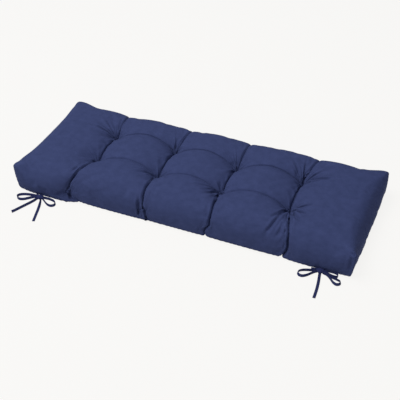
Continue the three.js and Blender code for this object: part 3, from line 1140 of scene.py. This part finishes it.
@dataclass
class Cushion:
    """The filled cushion: its skin, swelled by simulation, with its folds and seams.

    The steps are those of the skin's grid over a pillow, a strip of the top and a wall,
    and gather crowds them at the creases. Pleats and fans start at the height bare_below
    and have their full depth that much again above it.
    """

    form: CushionForm = field(default_factory=CushionForm)
    name: str = "tufted_cushion"
    pillow_steps: int = 25
    side_steps: int = 15
    middle_steps: int = 14
    wall_steps: int = 7
    gather: float = 0.6
    bare_below: float = 0.02
    swelling: Swelling = field(default_factory=Swelling)
    pleats: Pleats = field(default_factory=Pleats)
    puckers: Puckers = field(default_factory=Puckers)

    def build(self) -> bpy.types.Object:
        """Make the cushion's object.

        Returns:
            The finished piece, undressed.
        """
        moved = self._swell()
        piece, index = self._skin(2)
        if moved is not None:
            points = read_points(piece.data) + moved[tuple(index.T)]
            points[:, 2] = np.maximum(points[:, 2], 0.0)
            write_points(piece.data, points)
        self._smooth(piece)
        self._fold(piece)
        return piece

    def _swell(self) -> Array:
        """Let the filling swell a coarse skin between the places where it is held.

        Returns:
            How far each place of the fine skin's grid moves.
        """
        skin, index = self._skin(1)
        rest = read_points(skin.data)
        us, vs, _ = self._stations(1)
        at_u, at_v, at_level = index.T
        away = self.form.place(False, us[at_u], vs[at_v])["to_crease"]
        held = 1 - smooth((away - self.swelling.held_within) / self.swelling.loosens_over)
        held = np.where(at_level == at_level.max(), 1.0, held)
        swelled = self.swelling.run(skin, held)
        bpy.data.objects.remove(skin, do_unlink=True)
        shift = swelled - rest
        size = np.linalg.norm(shift, axis=1)[:, None] + TINY
        shift *= self.swelling.cap * np.tanh(size / self.swelling.cap) / size
        LOG.info("swelled by %.4f m on average, %.4f m at most", size.mean(), size.max())
        grid = np.zeros((*(index.max(axis=0) + 1), 3))
        grid[tuple(index.T)] = shift
        for axis in range(3):
            grid = between(grid, axis)
        return grid

    def dress(self, piece: bpy.types.Object, finish: WovenCloth) -> None:
        """Give the cushion its cloth and its place in the frame.

        Args:
            piece: The cushion's object.
            finish: The cloth.
        """
        piece.data.materials.append(finish.make())
        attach(piece, BODY)
        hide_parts("cushion")

    def _stations(self, fineness: int) -> tuple[Array, Array, Array]:
        """Return the panel coordinates of the grid lines, and the walls' levels.

        Args:
            fineness: How many parts each step is cut in.
        """
        steps = self.pillow_steps * fineness
        u = [i + eased(steps, self.gather) for i in range(len(PILLOWS))]
        counts = (self.side_steps, self.middle_steps, self.side_steps)
        v = [i + eased(count * fineness, self.gather) for i, count in enumerate(counts)]
        levels = np.linspace(0, 1, self.wall_steps * fineness + 1)
        return (
            np.append(np.concatenate(u), len(PILLOWS)),
            np.append(np.concatenate(v), len(counts)),
            levels,
        )

    def _skin(self, fineness: int) -> tuple[bpy.types.Object, Array]:
        """Build the closed skin as a grid over the top, the walls and the underside.

        Args:
            fineness: How many parts each step of the grid is cut in.

        Returns:
            The object, with its cloth coordinates, and each vertex's place in the grid.
        """
        us, vs, levels = self._stations(fineness)
        nu, nv, nk = len(us), len(vs), len(levels)
        numbers: dict[tuple[int, ...], int] = {}

        def vertex(*key: int) -> int:
            """Return the number of a place in the grid, a new one at its first call."""
            if key not in numbers:
                numbers[key] = len(numbers)
            return numbers[key]

        faces: list[tuple[int, ...]] = []
        for i in range(nu - 1):
            for j in range(nv - 1):
                corners = ((i, j), (i + 1, j), (i + 1, j + 1), (i, j + 1))
                faces.append(tuple(vertex(a, b, 0) for a, b in corners))
                faces.append(tuple(vertex(a, b, nk - 1) for a, b in reversed(corners)))
        round_edge = (
            [(i, 0) for i in range(nu - 1)]
            + [(nu - 1, j) for j in range(nv - 1)]
            + [(i, nv - 1) for i in range(nu - 1, 0, -1)]
            + [(0, j) for j in range(nv - 1, 0, -1)]
        )
        for k in range(nk - 1):
            for here, there in zip(round_edge, round_edge[1:] + round_edge[:1]):
                corners = ((*here, k + 1), (*there, k + 1), (*there, k), (*here, k))
                faces.append(tuple(vertex(*corner) for corner in corners))

        index = np.array(list(numbers))
        at_u, at_v, at_level = index.T
        u, v = us[at_u], vs[at_v]
        on_rim = (at_u == 0) | (at_u == nu - 1) | (at_v == 0) | (at_v == nv - 1)
        inner = np.where((at_level == 0)[:, None], self.form.top(u, v), self.form.under(u, v))
        points = np.where(on_rim[:, None], self.form.wall(u, v, levels[at_level]), inner)
        piece = add_mesh(self.name, points, faces)
        along = points[:, 1] + points[:, 2] - self.form.crown
        lay_uv(piece.data, np.column_stack([points[:, 0], along]))
        return piece, index

    def _fold(self, piece: bpy.types.Object) -> None:
        """Press the folds and pleats into the skin.

        Args:
            piece: The cushion's object.
        """
        mesh = piece.data
        points = read_points(mesh)
        normals = np.empty(len(points) * 3)
        mesh.vertex_normals.foreach_get("vector", normals)
        normals = normals.reshape(-1, 3)
        lift = np.zeros(len(points))
        for fold in FOLDS:
            chosen, moved = fold.lift(points, normals)
            lift[chosen] += moved
        above = smooth((points[:, 2] - self.bare_below) / self.bare_below)
        tacks = [tack for column in COLUMNS for tack in (column.front_tack, column.back_tack)]
        for seed, tack in enumerate(tacks):
            away = np.hypot(*(points[:, :2] - tack).T)
            lift *= mix(self.pleats.calm_share, 1.0, smooth(away / self.pleats.calm))
            lift += self.pleats.lift(points, tack, seed) * above
        for fan in FANS:
            lift += fan.lift(points) * above
        upright = np.sqrt(np.clip(1 - normals[:, 2] ** 2, 0, 1))
        lift += self.puckers.lift(points) * upright
        moved = points + normals * lift[:, None]
        moved[:, 2] = np.maximum(moved[:, 2], 0.0)
        write_points(mesh, moved)

    def _smooth(self, piece: bpy.types.Object) -> None:
        """Round the skin by one subdivision and shade it smooth."""
        apply_modifier(piece, "SUBSURF", levels=1, render_levels=1)
        piece.data.polygons.foreach_set("use_smooth", [True] * len(piece.data.polygons))


# ---------------------------------------------------------------- the bows


class FarEnd(Enum):
    """What a tape ends in."""

    KNOT = "knot"
    BARE = "bare"


@dataclass(frozen=True)
class Tape:
    """One length of tape: its route in plan, how it lies, and what it ends in.

    rise lifts it at the knot and wave between its ends, in metres. turn is its angle from
    flat, at the knot and at its far end, and tilt how far it lies over at the tip of a
    loop, in degrees.
    """

    part: str
    route: Route
    far_end: FarEnd = FarEnd.KNOT
    rise: float = 0.0012
    wave: float = 0.0
    turn: tuple[float, float] = (90.0, 90.0)
    tilt: float = 0.0


@dataclass(frozen=True)
class TapeSection:
    """The folded and stitched section of a tape, and where a tape's middle lies."""

    width: float = 0.010
    thickness: float = 0.0020
    floor_gap: float = 0.0004
    spacing: float = 0.0016
    outline: Route = (
        (1.00, 0.00), (0.98, 0.50), (0.90, 0.88), (0.80, 0.94),
        (0.72, 0.70), (0.64, 0.94), (0.30, 1.00), (0.00, 0.92),
    )

    def ring(self) -> Array:
        """Return the section's closed outline, as points of across and out."""
        quarter = np.array(self.outline)
        half = np.vstack([quarter, quarter[-2::-1] * (-1, 1)])
        whole = np.vstack([half, half[-2:0:-1] * (1, -1)])
        return whole * (self.width / 2, self.thickness / 2)

    def level(self, turn: Array | float) -> Array:
        """Return the height of a tape's middle when it is turned so far from flat."""
        high = self.width * np.abs(np.sin(turn)) + self.thickness * np.abs(np.cos(turn))
        return self.floor_gap + high / 2


def through(points: Array, spacing: float) -> Array:
    """Run a smooth curve through points and space points evenly along it.

    Args:
        points: The points that the curve goes through.
        spacing: About how far apart the new points are.

    Returns:
        The new points, one in each row.
    """
    first, last = 2 * points[0] - points[1], 2 * points[-1] - points[-2]
    held = np.vstack([first, points, last])
    share = np.linspace(0, 1, CURVE_STEPS, endpoint=False)[:, None]
    spans = []
    for a, b, c, d in zip(held, held[1:], held[2:], held[3:]):
        ab, bc, cd = (math.sqrt(np.linalg.norm(q - p)) for p, q in ((a, b), (b, c), (c, d)))
        leave = ((b - a) / ab - (c - a) / (ab + bc) + (c - b) / bc) * bc
        reach = ((c - b) / bc - (d - b) / (bc + cd) + (d - c) / cd) * bc
        cubic = 2 * b - 2 * c + leave + reach
        square = -3 * b + 3 * c - 2 * leave - reach
        spans.append(b + leave * share + square * share**2 + cubic * share**3)
    dense = np.vstack([*spans, points[-1]])
    along = run_of(dense)
    even = np.linspace(0, along[-1], max(2, round(along[-1] / spacing)) + 1)
    return np.column_stack([np.interp(even, along, axis) for axis in dense.T])


@dataclass
class Bow:
    """One bow: its root, its knot, its loops and its free ends.

    fall is the way in which the tapes' upper edges fall over, and lean how far, in
    radians. rise_over and turn_over are the shares of a tape's length over which it comes
    down from the knot and turns. The knot's core is gathered in pleats, under a band of
    the tape, and its root is two strands. dress() measures each tape against shortest_cord,
    but does nothing more with it.
    """

    side: str
    knot_at: tuple[float, float]
    root: Route
    tapes: tuple[Tape, ...]
    fall: tuple[float, float]
    knot_size: tuple[float, float, float] = (0.0150, 0.0115, 0.0066)
    knot_height: float = 0.0074
    band_size: tuple[float, float] = (0.0122, 0.0070)
    band_thickness: float = 0.0018
    band_bevel: float = 0.0005
    core_steps: tuple[int, int] = (32, 20)
    band_steps: int = 40
    gather: float = 0.10
    gathers: int = 7
    gather_turn: float = 2.0
    strand_gap: float = 0.0001
    rise_over: float = 0.2
    turn_over: float = 0.625
    tilt_power: float = 6.0
    shortest_cord: float = 0.060
    lean: float = 0.45
    section: TapeSection = field(default_factory=TapeSection)

    def build(self) -> dict[str, bpy.types.Object]:
        """Make the bow's pieces.

        Returns:
            The pieces by the name of the part that each stands for.
        """
        pieces = {"knot": self._knot()}
        for tape in self.tapes:
            pieces[tape.part] = self._tape(tape)
        return pieces

    def dress(self, pieces: dict[str, bpy.types.Object], finish: WovenCloth) -> None:
        """Give the bow its tape cloth, attach its pieces and hide the frame's parts that they
        replace.

        Args:
            pieces: The bow's pieces, from build().
            finish: The tape's cloth.
        """
        for part, piece in pieces.items():
            piece.data.materials.clear()
            piece.data.materials.append(finish.make())
            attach(piece, BODY)
            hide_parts(f"{self.side}_tie_{part}")
        for tape in self.tapes:
            path = self.path(tape)
            length = float(run_of(path)[-1])
            if length < self.shortest_cord:
                continue

    def path(self, tape: Tape) -> Array:
        """Return the line that the middle of a tape follows.

        Args:
            tape: The tape.

        Returns:
            The points along it.
        """
        plan = through(np.array(tape.route), self.section.spacing)
        share = np.linspace(0, 1, len(plan))
        ends = 1 - smooth(share / self.rise_over)
        if tape.far_end is FarEnd.KNOT:
            ends = ends + 1 - smooth((1 - share) / self.rise_over)
        lift = tape.rise * ends + tape.wave * np.sin(math.pi * share) ** 2
        return np.column_stack([plan, self.section.level(self._turn(tape, share)) + lift])

    def _turn(self, tape: Tape, share: Array) -> Array:
        """Return a tape's angle from flat at shares of its length, in radians."""
        tilt = tape.tilt * np.sin(math.pi * share) ** self.tilt_power
        turned = smooth(share / self.turn_over)
        return np.radians(mix(tape.turn[0], tape.turn[1], turned) - tilt)

    def _tape(self, tape: Tape) -> bpy.types.Object:
        """Return a tape's object, swept along its path."""
        path = self.path(tape)
        turn = self._turn(tape, np.linspace(0, 1, len(path)))
        return self._sweep(f"{self.side}_bow_{tape.part}", path, turn, self.lean)

    def _sweep(
        self, name: str, path: Array, turn: Array, lean: float, aside: float = 0.0
    ) -> bpy.types.Object:
        """Sweep the section along a path.

        Args:
            name: The object's name.
            path: The line that its middle follows.
            turn: Its angle from flat along the path, in radians.
            lean: How far its upper edge falls over where it stands, in radians.
            aside: How far it is moved sideways from the path.

        Returns:
            The object, closed at both ends.
        """
        ring = self.section.ring()
        along = np.gradient(path, axis=0)
        along /= np.linalg.norm(along, axis=1)[:, None]
        sideways = np.cross((0, 0, 1), along)
        sideways /= np.linalg.norm(sideways, axis=1)[:, None]
        upward = np.cross(along, sideways)
        over = sideways[:, :2] @ np.array(self.fall)
        from_upright = (math.pi / 2 - turn) * np.sign(over.sum() or 1.0)
        tip = (from_upright + lean * over * np.sin(turn))[:, None]
        across = upward * np.cos(tip) + sideways * np.sin(tip)
        out = sideways * np.cos(tip) - upward * np.sin(tip)
        middle = (path + sideways * aside)[:, None, :]
        rows = middle + across[:, None, :] * ring[:, :1] + out[:, None, :] * ring[:, 1:]
        count, size = len(path), len(ring)
        faces = [
            (a + i, a + j, a + size + j, a + size + i)
            for a in range(0, (count - 1) * size, size)
            for i, j in zip(range(size), [*range(1, size), 0])
        ]
        faces += [tuple(range(size - 1, -1, -1)), tuple(range((count - 1) * size, count * size))]
        piece = add_mesh(name, rows.reshape(-1, 3), faces)
        cloth = np.column_stack([np.tile(ring[:, 0], count), np.repeat(run_of(path), size)])
        lay_uv(piece.data, cloth)
        self._outward(piece)
        return piece

    def _outward(self, piece: bpy.types.Object) -> None:
        """Turn every face outwards and shade the piece smooth but for its sharp turns."""
        only(piece)
        bpy.ops.object.mode_set(mode="EDIT")
        bpy.ops.mesh.select_all(action="SELECT")
        bpy.ops.mesh.normals_make_consistent(inside=False)
        bpy.ops.object.mode_set(mode="OBJECT")
        bpy.ops.object.shade_smooth_by_angle(angle=SHARP_ANGLE)

    def _knot(self) -> bpy.types.Object:
        """Make the knot: a gathered core with a tape round it, on its doubled root.

        Returns:
            The knot's object.
        """
        name = f"{self.side}_bow_knot"
        place = (*self.knot_at, self.knot_height)
        bpy.ops.object.select_all(action="DESELECT")
        segments, rings = self.core_steps
        bpy.ops.mesh.primitive_uv_sphere_add(
            segments=segments, ring_count=rings, radius=1, location=place
        )
        core = bpy.context.object
        core.scale = self.knot_size
        bpy.ops.object.transform_apply(location=True, rotation=False, scale=True)
        self._gather(core)
        bpy.ops.mesh.primitive_cylinder_add(
            vertices=self.band_steps,
            radius=1,
            depth=self.section.width,
            end_fill_type="NOTHING",
            location=place,
            rotation=(0, math.pi / 2, 0),
        )
        band = bpy.context.object
        bpy.ops.object.transform_apply(location=False, rotation=True, scale=False)
        band.scale = (1, *self.band_size)
        bpy.ops.object.transform_apply(location=True, rotation=False, scale=True)
        apply_modifier(band, "SOLIDIFY", thickness=self.band_thickness, offset=-1)
        apply_modifier(band, "BEVEL", width=self.band_bevel, segments=2)
        for round_part in (core, band):
            round_part.data.uv_layers[0].name = UV_MAP
        upright = math.pi / 2
        middle = self.section.level(upright)
        root = through(np.array([(x, y, middle) for x, y in self.root]), self.section.spacing)
        turn = np.full(len(root), upright)
        half = (self.section.thickness + self.strand_gap) / 2
        strands = [
            self._sweep(f"{name}_strand", root, turn, 0.0, aside) for aside in (-half, half)
        ]
        only(core)
        for extra in (band, *strands):
            extra.select_set(True)
        bpy.ops.object.join()
        core.name = core.data.name = name
        self._outward(core)
        return core

    def _gather(self, core: bpy.types.Object) -> None:
        """Press shallow pleats into the knot's core, running out to the loops."""
        middle = np.array((*self.knot_at, self.knot_height))
        points = read_points(core.data)
        from_middle = points - middle
        turn = np.arctan2(from_middle[:, 2], from_middle[:, 1])
        out = np.abs(from_middle[:, 0]) / self.knot_size[0]
        wave = np.cos(self.gathers * turn + self.gather_turn * np.sign(from_middle[:, 0]))
        pleat = 1 - self.gather * out * (1 + wave) / 2
        scaled = middle + from_middle * np.column_stack([np.ones_like(out), pleat, pleat])
        write_points(core.data, scaled)


LEFT_BOW = Bow(
    side="left",
    knot_at=(-0.527, -0.2615),
    fall=(-0.64, 0.77),
    root=(
        (-0.552, -0.24395), (-0.551, -0.247), (-0.546, -0.2515), (-0.536, -0.2568),
        (-0.527, -0.261),
    ),
    tapes=(
        Tape(
            "outer_loop",
            (
                (-0.5396, -0.2596), (-0.555, -0.2594), (-0.574, -0.2614), (-0.595, -0.2676),
                (-0.609, -0.277), (-0.611, -0.287), (-0.602, -0.2955), (-0.591, -0.297),
                (-0.578, -0.2915), (-0.564, -0.2795), (-0.551, -0.269), (-0.5385, -0.2647),
            ),
        ),
        Tape(
            "inner_loop",
            (
                (-0.515, -0.2599), (-0.501, -0.2576), (-0.485, -0.2572), (-0.467, -0.2618),
                (-0.456, -0.271), (-0.4555, -0.281), (-0.464, -0.2884), (-0.477, -0.288),
                (-0.493, -0.280), (-0.505, -0.2716), (-0.5157, -0.2651),
            ),
        ),
        Tape(
            "outer_end",
            (
                (-0.5322, -0.2675), (-0.5375, -0.283), (-0.545, -0.304), (-0.561, -0.338),
                (-0.578, -0.371),
            ),
            far_end=FarEnd.BARE,
            rise=0.0016,
            wave=0.0012,
            turn=(90.0, 84.0),
        ),
        Tape(
            "inner_end",
            (
                (-0.5200, -0.2680), (-0.511, -0.2860), (-0.501, -0.311), (-0.490, -0.346),
                (-0.478, -0.383),
            ),
            far_end=FarEnd.BARE,
            rise=0.0016,
            wave=0.0010,
            turn=(78.0, 6.0),
        ),
    ),
)

RIGHT_BOW = Bow(
    side="right",
    knot_at=(0.540, -0.243),
    fall=(-0.22, 0.97),
    lean=0.22,
    root=(
        (0.537, -0.23195), (0.5376, -0.2345), (0.539, -0.2385), (0.540, -0.243),
    ),
    tapes=(
        Tape(
            "outer_loop",
            (
                (0.5281, -0.245), (0.512, -0.2504), (0.494, -0.2564), (0.480, -0.264),
                (0.4736, -0.274), (0.478, -0.284), (0.489, -0.2876), (0.502, -0.2805),
                (0.514, -0.2665), (0.523, -0.256), (0.5308, -0.2496),
            ),
            tilt=18.0,
        ),
        Tape(
            "upper_loop",
            (
                (0.5498, -0.2372), (0.560, -0.2346), (0.574, -0.2336), (0.588, -0.2342),
                (0.5975, -0.239), (0.5975, -0.2495), (0.583, -0.2512), (0.568, -0.2470),
                (0.5523, -0.2416),
            ),
        ),
        Tape(
            "lower_loop",
            (
                (0.5519, -0.2451), (0.564, -0.2510), (0.583, -0.2574), (0.601, -0.2620),
                (0.613, -0.2665), (0.6145, -0.277), (0.6055, -0.2835), (0.593, -0.2785),
                (0.579, -0.2645), (0.565, -0.2535), (0.5494, -0.2493),
            ),
            tilt=18.0,
        ),
        Tape(
            "long_end",
            (
                (0.5406, -0.2499), (0.544, -0.268), (0.5485, -0.292), (0.553, -0.326),
                (0.5555, -0.364),
            ),
            far_end=FarEnd.BARE,
            rise=0.0016,
            wave=0.0012,
            turn=(22.0, 4.0),
        ),
        Tape(
            "short_end",
            ((0.5277, -0.2414), (0.519, -0.2426), (0.5085, -0.2422)),
            far_end=FarEnd.BARE,
            rise=0.0006,
        ),
    ),
)


# ---------------------------------------------------------------- the studio


@dataclass(frozen=True)
class SoftBox:
    """One square light that faces the cushion, in metres and watts."""

    name: str
    place: tuple[float, float, float]
    size: float
    power: float
    colour: tuple[float, float, float]

    def hang(self) -> None:
        """Hang the light in the scene."""
        lamp = bpy.data.lights.new(self.name, "AREA")
        lamp.color = self.colour
        lamp.size = self.size
        lamp.energy = self.power
        light = add_object(self.name, lamp)
        light.location = self.place
        light.rotation_euler = (-Vector(self.place)).to_track_quat("-Z", "Y").to_euler()


SOFT_BOXES = (
    SoftBox("key_light", (-1.6, -1.0, 5.4), 3.6, 325.0, (1.0, 1.0, 0.975)),
    SoftBox("fill_light", (-3.0, -3.2, 1.6), 1.6, 14.0, (0.95, 0.97, 1.1)),
)


@dataclass
class Studio:
    """The floor, the soft lights and the camera."""

    camera_at: Vector = field(default_factory=lambda: Vector((0.949803, -2.030739, 1.762520)))
    right: Vector = field(default_factory=lambda: Vector((0.914378, 0.404065, -0.025382)))
    down: Vector = field(default_factory=lambda: Vector((0.235534, -0.581900, -0.778406)))
    ahead: Vector = field(default_factory=lambda: Vector((-0.329296, 0.705779, -0.627248)))
    sensor: float = 36.0
    focal: float = 69.03
    far: float = 100.0
    floor_size: float = 30.0
    sky: Colour = (0.94, 0.96, 1.13, 1.0)
    sky_strength: float = 0.26

    def build(self) -> None:
        """Make the floor, the lights and the camera."""
        self._floor()
        self._camera()
        self._lights()

    def _floor(self) -> None:
        """Lay the floor as one large plane at the cushion's underside."""
        bpy.ops.mesh.primitive_plane_add(size=self.floor_size, location=(0, 0, 0))
        floor = bpy.context.object
        floor.name = "studio_floor"
        floor.data.materials.append(PaleFloor().make())

    def _camera(self) -> None:
        """Set the camera at its place and turn."""
        lens = bpy.data.cameras.new("studio_camera")
        lens.sensor_width = self.sensor
        lens.lens = self.focal
        lens.clip_end = self.far
        camera = add_object("studio_camera", lens)
        turn = Matrix((self.right, -self.down, -self.ahead)).transposed().to_4x4()
        turn.translation = self.camera_at
        camera.matrix_world = turn
        bpy.context.scene.camera = camera

    def _lights(self) -> None:
        """Light the scene softly from above and from the front left."""
        world = bpy.data.worlds.new("studio_world")
        bpy.context.scene.world = world
        world.use_nodes = True
        background = world.node_tree.nodes["Background"]
        background.inputs["Color"].default_value = self.sky
        background.inputs["Strength"].default_value = self.sky_strength
        for box in SOFT_BOXES:
            box.hang()
        bpy.context.scene.view_settings.view_transform = "Standard"


# ---------------------------------------------------------------- main


def main() -> None:
    """Build every piece in order."""
    logging.basicConfig(level=logging.INFO, format="%(name)s: %(message)s")
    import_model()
    studio = Studio()
    studio.build()
    LOG.info("studio: floor, lights and camera")

    cushion = Cushion()
    piece = cushion.build()
    cushion.dress(piece, NAVY_COVER)
    LOG.info("cushion: %d faces", len(piece.data.polygons))

    for bow in (LEFT_BOW, RIGHT_BOW):
        pieces = bow.build()
        bow.dress(pieces, NAVY_TAPE)
        LOG.info("%s bow: %d pieces", bow.side, len(pieces))


if __name__ == "__main__":
    main()
